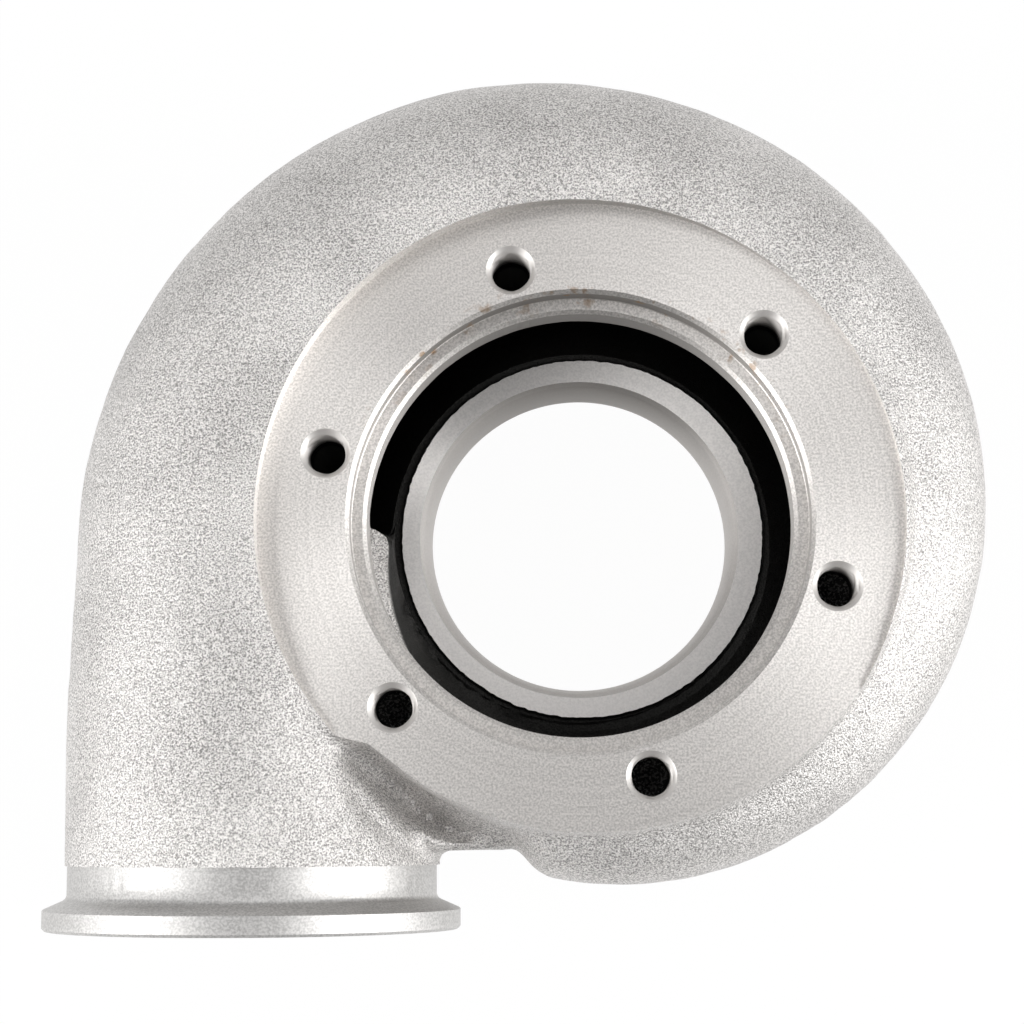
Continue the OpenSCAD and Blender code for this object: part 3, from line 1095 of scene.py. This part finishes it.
# %% The slot's own walls keep the cast finish
# The passage finish paints shade on the parts of these walls more than 15 mm down.
slot_finish = casting.data.materials.find(PASSAGE.name)
slot_faces = 0
for polygon in casting.data.polygons:
    x, y, z = polygon.center / MM
    in_slot = LIP["outer"] - 1.2 < math.hypot(x, y) < BORE_R - 0.2
    if in_slot and -LIP["depth"] + 0.01 < z < -SLOT_TOP + 0.2:
        polygon.material_index = slot_finish
        slot_faces += 1
print("Slot faces with the cast finish:", slot_faces)

# %% The inlet bore
inlet_bore = lathe(
    "inlet_bore",
    [(0.0, -1.0), (INLET["bore"], -1.0), (INLET["bore"], 12.0), (0.0, 12.0)],
    TURNED_INLET,
    place=INLET_PLACE,
)
casting = cut(casting, inlet_bore, "DIFFERENCE")
print("The inlet bore is", 2 * INLET["bore"], "mm across")

# %% [markdown]
# ## Six tapped holes
# The holes repeat evenly round a circle, which suits Geometry Nodes: one cutter with a
# real helical thread, a chamfer at its mouth and a drill point, set on the points of a
# circle. The radius of each point of the cutter is a formula of its height and angle.

# %% The tapped hole tree
def tapped_holes_tree():
    sizes = {
        "Drill Radius": BOLT["drill"],
        "Thread Depth": 0.58,
        "Pitch": 1.25,
        "Depth": BOLT["depth"],
        "Chamfer": BOLT["chamfer"],
        "Circle Radius": BOLT["circle"] / 2,
        "First Angle": BOLT["angle"],
    }
    tree, v, finish = new_tree("tapped holes", sizes)
    stock, (x, y, z) = unit_tube(tree, vertices=40, segments=60)
    point_slope, mouth_rise = 0.6, 0.3
    point_drop = v["Drill Radius"] * point_slope
    height = (z - 0.5) * (v["Depth"] + point_drop + mouth_rise) + mouth_rise
    angle = y.math("ARCTAN2", x)
    phase = (height / v["Pitch"] - angle / (2 * PI)).math("FRACT")
    crest = 1.0 - (phase * 2.0 - 1.0).math("ABSOLUTE")
    threaded = limited((height + v["Depth"] - 1.5) * 2.0)
    radius = v["Drill Radius"] + v["Thread Depth"] * crest * threaded
    mouth = v["Drill Radius"] + v["Chamfer"] + height
    radius = radius.math("MAXIMUM", mouth)
    tip = (height + v["Depth"] + point_drop) / point_slope + 0.05
    radius = radius.math("MINIMUM", tip)
    cutter = moved(tree, stock, x * radius, y * radius, height)
    circle = tree.nodes.new("GeometryNodeMeshCircle")
    circle.inputs["Vertices"].default_value = BOLT["count"]
    tree.links.new((v["Circle Radius"] * MM).socket, circle.inputs["Radius"])
    spin = combined(tree, 0.0, 0.0, v["First Angle"] * (PI / 180))
    turn = tree.nodes.new("GeometryNodeTransform")
    tree.links.new(circle.outputs[0], turn.inputs["Geometry"])
    tree.links.new(spin, turn.inputs["Rotation"])
    spread = tree.nodes.new("GeometryNodeInstanceOnPoints")
    tree.links.new(turn.outputs[0], spread.inputs["Points"])
    tree.links.new(cutter, spread.inputs["Instance"])
    end_tree(tree, spread.outputs[0], finish)
    return tree, sizes


holes_tree, hole_sizes = tapped_holes_tree()
holes = grown("tapped_holes", holes_tree, hole_sizes, THREAD)
casting = cut(casting, holes, "DIFFERENCE")

# %% [markdown]
# ## Finishing the piece
# The waves of the skin are kept inside the box of the CAD model. Turned edges stay crisp and
# the skin stays soft: edges sharper than a set angle are marked, and the rest is shaded
# smooth. The piece then stands for the CAD solid and rides on its body.

# %% Finish and register
SHARP_ANGLE = 32.0
casting.name = "turbine_casting"
for vertex in casting.data.vertices:
    for axis in range(3):
        vertex.co[axis] = max(cad_low[axis], min(cad_high[axis], vertex.co[axis]))
for polygon in casting.data.polygons:
    polygon.use_smooth = True
casting.data.set_sharp_from_angle(angle=math.radians(SHARP_ANGLE))
triangles = sum(len(p.vertices) - 2 for p in casting.data.polygons)
print("turbine_casting:", triangles, "triangles, finishes",
      [m.name for m in casting.data.materials])
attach(casting, "root")
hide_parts("turbine_housing")

# %% [markdown]
# ## Camera
# The photograph looks almost straight down the turbine axis, from a little towards the
# inlet. The place and the lens come from the circles of the bore, whose centres shift
# with their depth.

# %% The camera
CAMERA_PLACE = (-3.79, -54.57, 400.3)
CAMERA_TILT = {"X": 7.95, "Y": 1.17, "Z": -0.19}
FOCAL_PIXELS, IMAGE_PIXELS, SENSOR = 2299.0, 1024.0, 36.0
camera_data = bpy.data.cameras.new("camera")
camera_data.sensor_width = SENSOR
camera_data.lens = FOCAL_PIXELS / IMAGE_PIXELS * SENSOR
camera = placed("camera", camera_data)
turned_camera = Matrix.Identity(4)
for axis in ("Y", "X", "Z"):
    turned_camera = turned_camera @ Matrix.Rotation(math.radians(CAMERA_TILT[axis]), 4, axis)
camera.matrix_world = Matrix.Translation(Vector(CAMERA_PLACE) * MM) @ turned_camera
camera_data.clip_start = 0.01
camera_data.clip_end = 20.0
bpy.context.scene.camera = camera
print("The lens is", round(camera_data.lens, 1), "mm, and the camera", CAMERA_PLACE[2], "mm up")

# %% [markdown]
# ## Floor, world and lamps
# A pale floor lies under the outlet rim. What the camera sees of it is nearly white, as
# in a cut-out studio photograph, and it still takes the object's shadow. Two tall soft
# boxes at the sides draw the broad highlights on the flanks, and a weak one from above
# fills the face.

# %% The floor
FLOOR_GAP = 0.0002
GLOW_SHARE = 0.97


def pale_floor_finish():
    material = bpy.data.materials.new("pale_floor")
    material.use_nodes = True
    tree = material.node_tree
    shader = tree.nodes["Principled BSDF"]
    shader.inputs["Base Color"].default_value = (0.86, 0.86, 0.86, 1.0)
    shader.inputs["Roughness"].default_value = 0.9
    glow = tree.nodes.new("ShaderNodeEmission")
    glow.inputs["Strength"].default_value = 1.0
    seen = tree.nodes.new("ShaderNodeLightPath")
    camera_seen = Num(tree, seen.outputs["Is Camera Ray"])
    either = camera_seen.math("MAXIMUM", Num(tree, seen.outputs["Is Glossy Ray"]))
    blend = tree.nodes.new("ShaderNodeMixShader")
    tree.links.new((either * GLOW_SHARE).socket, blend.inputs["Fac"])
    tree.links.new(shader.outputs[0], blend.inputs[1])
    tree.links.new(glow.outputs[0], blend.inputs[2])
    tree.links.new(blend.outputs[0], tree.nodes["Material Output"].inputs["Surface"])
    return material


grid = bmesh.new()
bmesh.ops.create_grid(grid, x_segments=1, y_segments=1, size=4.0)
bmesh.ops.translate(grid, verts=grid.verts, vec=(0.0, 0.0, cad_low.z - FLOOR_GAP))
floor = from_shape("floor", grid, pale_floor_finish())
print("The floor lies", round(1000 * FLOOR_GAP, 1), "mm under the lowest rim")

# %% World and lamps
world = bpy.data.worlds.new("studio")
bpy.context.scene.world = world
world.use_nodes = True
world_tree = world.node_tree
sky = world_tree.nodes["Background"]
sky.inputs["Strength"].default_value = 1.0
looking = world_tree.nodes.new("ShaderNodeTexCoord")
_, sky_y, sky_z = split(world_tree, looking.outputs["Generated"])
sky_share = limited(sky_y * 0.55 + sky_z * 0.25 + 0.5)
sky_colour = blend_colour(world_tree, sky_share, (0.10, 0.10, 0.10), (0.62, 0.62, 0.625))
seen_by = world_tree.nodes.new("ShaderNodeLightPath")
camera_ray = Num(world_tree, seen_by.outputs["Is Camera Ray"])
sky_colour = blend_colour(world_tree, camera_ray, sky_colour, (1.0, 1.0, 1.0))
world_tree.links.new(sky_colour, sky.inputs["Color"])


def soft_box(name, place, target, width, height, power):
    data = bpy.data.lights.new(name, "AREA")
    data.shape = "RECTANGLE"
    data.size = width
    data.size_y = height
    data.energy = power
    lamp = placed(name, data)
    lamp.location = place
    aim = Vector(target) - Vector(place)
    lamp.rotation_mode = "QUATERNION"
    lamp.rotation_quaternion = aim.to_track_quat("-Z", "Y")
    print(name, "gives", power, "W from", round(aim.length, 2), "m away")


SCROLL_MIDDLE = (0.0, 0.0, -0.03)
FACE_MIDDLE = (0.0, 0.0, 0.0)
soft_box("left_box", (-0.88, -0.36, 0.5), SCROLL_MIDDLE, width=0.6, height=0.9, power=10.0)
soft_box("right_box", (0.93, -0.24, 0.42), SCROLL_MIDDLE, width=0.6, height=0.9, power=11.5)
soft_box("top_box", (0.05, 0.75, 0.95), FACE_MIDDLE, width=0.8, height=0.6, power=1.9)

# %% [markdown]
# ## Closing
# The view transform is plain, so that a colour renders as it is written.

# %% Close
bpy.context.scene.view_settings.view_transform = "Standard"
